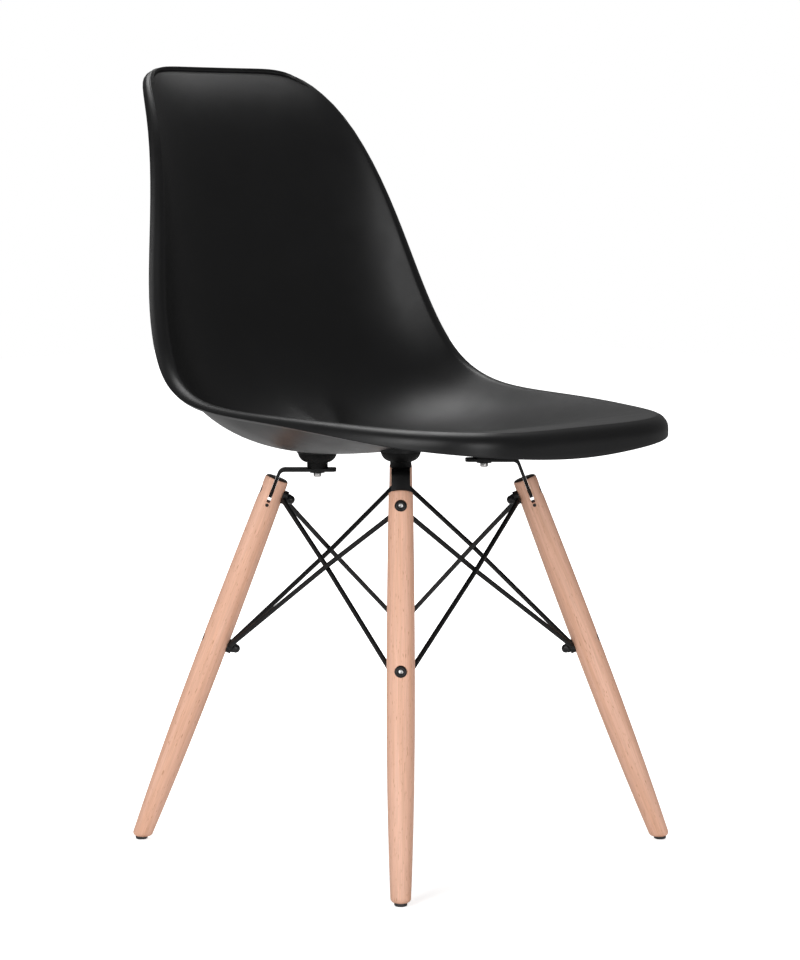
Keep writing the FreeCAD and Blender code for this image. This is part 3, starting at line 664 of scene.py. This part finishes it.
def makeBolts(level):
    # Shank, round head and hexagon socket, as rings from the end of the shank to the floor of the socket
    size = boltSize
    made = []
    seat = legSize[level + "Diameter"] / 2 - legSize["lugSeat"]
    end = size["endGap"] - (seat + lugSize["thickness"] + nutSize["boreDepth"])
    head = legSize[level + "Diameter"] / 2 - legSize["counterbore"]
    crown = head + size["headHeight"]
    for name in legNames:
        bolt = turned([(size["shank"], end), (size["shank"], head), (size["headRadius"], head),
                       (size["headRadius"], crown - size["chamfer"]),
                       (size["headRadius"] - size["chamfer"], crown), (size["socket"], crown),
                       (size["socket"], crown - size["socketDepth"])], flats=(5, 6))
        soften(bolt, size["round"])
        bolt.data.materials.append(paints["blackOxide"])
        bolt.data.materials.append(paints["bareSteel"])
        # Faces on the socket's floor get bare steel though the bolt is black oxide: a painted highlight
        # inside the socket
        for face in bolt.data.polygons:
            inside = math.hypot(face.center.x, face.center.y) < size["socket"] * size["paintedHighlightShare"]
            if inside and face.center.z > head + size["round"]:
                face.material_index = 1
        made.append(put(bolt, boltFrame(name, level) @ outwardsAxis))
    settle(made, level + "LegBolts", None, "black_fastener", level + "_leg_bolts")


def makeNuts(level):
    size = nutSize
    made = []
    seat = legSize[level + "Diameter"] / 2 - legSize["lugSeat"] + lugSize["thickness"]
    flat = size["flats"] / 2
    profile = [(flat, 0), (flat, size["height"] - size["chamfer"]), (size["domeRadius"], size["height"]),
               (size["domeRadius"], size["height"] + size["straight"])]
    for step in range(1, size["steps"]):
        angle = math.pi / 2 * step / size["steps"]
        profile.append((size["domeRadius"] * math.cos(angle),
                        size["height"] + size["straight"] + size["domeRadius"] * math.sin(angle)))
    for name in legNames:
        nut = turned(profile, flats=(0, 1))
        soften(nut, size["round"])
        made.append(put(nut, boltFrame(name, level, -seat) @ outwardsAxis.inverted()))
    settle(made, level + "CapNuts", paints["blackOxide"], "black_fastener", level + "_cap_nuts")


def makeLug(name, level):
    size = lugSize
    slant = math.radians(size["slant"])
    half = size["width"] / 2
    sideEnd = (half * math.cos(slant) - size["mouth"]) / math.sin(slant)
    footEnd = (size["mouth"] - size["foot"] * math.sin(slant)) / math.cos(slant)
    corners = [(-footEnd, -size["foot"]), (footEnd, -size["foot"]), (half, sideEnd),
               (half, size["reach"]), (-half, size["reach"]), (-half, sideEnd)]
    radii = [0, 0, 0, size["corner"], size["corner"], 0]
    lug = plate(roundCorners([Vector(corner) for corner in corners], radii), -size["thickness"], 0, "X")
    seat = legSize[level + "Diameter"] / 2 - legSize["lugSeat"]
    put(lug, boltFrame(name, level, -seat))
    soften(lug, size["round"])
    node = "lug_" + level + "_" + name
    settle([lug], node + "_dressed", paints["powderCoat"], "black_steel", node)


for level in ("upper", "lower"):
    makeBolts(level)
    makeNuts(level)
    for name in legNames:
        makeLug(name, level)
print("screws, bolts, nuts and lugs done")

rodSize = {"radius": 0.0026, "stub": 0.0024, "bend": 0.005, "bowBend": 0.3, "passGap": 0.0005,
           "sides": 24}


def rodEnd(name, level, side):
    # Where a rod leaves a lug and the corner of its bend
    seat = legSize[level + "Diameter"] / 2 - legSize["lugSeat"]
    place = boltFrame(name, level, -seat)
    side = -side if level == "lower" else side
    slant = math.radians(lugSize["slant"])
    away = Vector((0, side * math.cos(slant), -math.sin(slant)))
    mouth = away * lugSize["mouth"] - Vector((lugSize["thickness"] / 2, 0, 0))
    return place @ mouth, place @ (mouth + away * rodSize["stub"])


def rodRings(path):
    # Circles square to the path, each turned as little as possible from the one before
    ahead = (path[1] - path[0]).normalized()
    side = ahead.orthogonal().normalized()
    rings = []
    for index, point in enumerate(path):
        before, after = path[max(index - 1, 0)], path[min(index + 1, len(path) - 1)]
        ahead = (after - before).normalized()
        side = (side - ahead * side.dot(ahead)).normalized()
        other = ahead.cross(side)
        angles = [2 * math.pi * step / rodSize["sides"] for step in range(rodSize["sides"])]
        rings.append([point + (side * math.cos(angle) + other * math.sin(angle)) * rodSize["radius"]
                      for angle in angles])
    return rings


def makeRods(name, following):
    down = rodEnd(name, "upper", 1) + rodEnd(following, "lower", -1)
    back = rodEnd(following, "upper", -1) + rodEnd(name, "lower", 1)
    across = (down[3] - down[1]).cross(back[3] - back[1]).normalized()
    if across.dot(Vector((down[1].x, down[1].y - baseY, 0))) < 0:
        across = -across
    span = (down[1] - back[1]).length
    share = span / (span + (down[3] - back[3]).length)
    crossing = down[1] + (down[3] - down[1]) * share
    aside = across * (rodSize["radius"] + rodSize["passGap"] / 2)
    for start, finish, ends, bow in ((name, following, down, crossing - aside),
                                     (following, name, back, crossing + aside)):
        corners = [ends[0], ends[1], bow, ends[3], ends[2]]
        radii = [0, rodSize["bend"], rodSize["bowBend"], rodSize["bend"], 0]
        rod = extrudeRings(rodRings(roundCorners(corners, radii)))
        onlySelect(rod)
        bpy.ops.object.shade_smooth_by_angle(angle=math.radians(35))
        node = "rod_" + start + "_to_" + finish
        settle([rod], node + "_dressed", paints["powderCoat"], "black_steel", node)


order = list(legNames)
for index, name in enumerate(order):
    makeRods(name, order[(index + 1) % len(order)])
print("rods done")

floorLook = {"colour": (0.9, 0.9, 0.9), "nearGlow": 0.62, "farGlow": 1.3, "near": 0.25, "far": 1.1,
             "size": 12, "below": 0.0005, "roughness": 0.9}

bpy.ops.object.select_all(action="DESELECT")
bpy.ops.mesh.primitive_plane_add(size=floorLook["size"], location=(0, 0, -floorLook["below"]))
floor = bpy.context.object
floor.name = "studioFloor"
floorPaint, tree, shader = newMaterial("studioFloor")
shader.inputs["Roughness"].default_value = floorLook["roughness"]
shader.inputs["Specular IOR Level"].default_value = 0
shader.inputs["Base Color"].default_value = (*floorLook["colour"], 1)


def seenDirectly(tree):
    # 1 where a ray comes straight from the camera or a clear surface
    path = tree.nodes.new("ShaderNodeLightPath")
    seen = tree.nodes.new("ShaderNodeMath")
    seen.operation = "MAXIMUM"
    tree.links.new(path.outputs["Is Camera Ray"], seen.inputs[0])
    tree.links.new(path.outputs["Is Transmission Ray"], seen.inputs[1])
    return seen.outputs[0]


# The floor fades into the white background away from the chair, and keeps the shadow close to it
coordinates = tree.nodes.new("ShaderNodeTexCoord")
reach = tree.nodes.new("ShaderNodeVectorMath")
reach.operation = "LENGTH"
tree.links.new(coordinates.outputs["Object"], reach.inputs[0])
fade = tree.nodes.new("ShaderNodeMapRange")
for socket, key in (("From Min", "near"), ("From Max", "far"),
                    ("To Min", "nearGlow"), ("To Max", "farGlow")):
    fade.inputs[socket].default_value = floorLook[key]
tree.links.new(reach.outputs["Value"], fade.inputs["Value"])
glow = tree.nodes.new("ShaderNodeEmission")
tree.links.new(fade.outputs[0], glow.inputs["Strength"])
nothing = addNode(tree, "ShaderNodeEmission", Strength=0.0)
pick = tree.nodes.new("ShaderNodeMixShader")
add = tree.nodes.new("ShaderNodeAddShader")
output = next(node for node in tree.nodes if node.type == "OUTPUT_MATERIAL")
tree.links.new(seenDirectly(tree), pick.inputs[0])
tree.links.new(nothing.outputs[0], pick.inputs[1])
tree.links.new(glow.outputs[0], pick.inputs[2])
tree.links.new(shader.outputs[0], add.inputs[0])
tree.links.new(pick.outputs[0], add.inputs[1])
tree.links.new(add.outputs[0], output.inputs["Surface"])
paint(floor, floorPaint)

worldLook = {"seen": 1.0, "light": 0.22}
world = bpy.data.worlds.new("studio")
bpy.context.scene.world = world
world.use_nodes = True
tree = world.node_tree
background = next(node for node in tree.nodes if node.type == "BACKGROUND")
background.inputs["Color"].default_value = (1, 1, 1, 1)
level = tree.nodes.new("ShaderNodeMapRange")
level.inputs["To Min"].default_value = worldLook["light"]
level.inputs["To Max"].default_value = worldLook["seen"]
tree.links.new(seenDirectly(tree), level.inputs["Value"])
tree.links.new(level.outputs[0], background.inputs["Strength"])

# Place, size, power and what each lamp looks at
lamps = {
    "leftSoftbox": ((-2.6, -0.4, 1.6), 1.4, 44, (0, 0, 0.3)),
    "frontSoftbox": ((-1.0, -3.0, 1.1), 1.4, 36, (0, 0, 0.3)),
    "overhead": ((0.7, 0.9, 2.8), 1.6, 44, (0, 0, 0.5)),
}
for name, (place, side, power, target) in lamps.items():
    light = bpy.data.lights.new(name, "AREA")
    light.size = side
    light.energy = power
    lamp = bpy.data.objects.new(name, light)
    bpy.context.scene.collection.objects.link(lamp)
    lamp.location = place
    lamp.rotation_euler = (Vector(target) - Vector(place)).to_track_quat("-Z", "Y").to_euler()

bpy.context.scene.view_settings.view_transform = "Standard"
print("stage done")
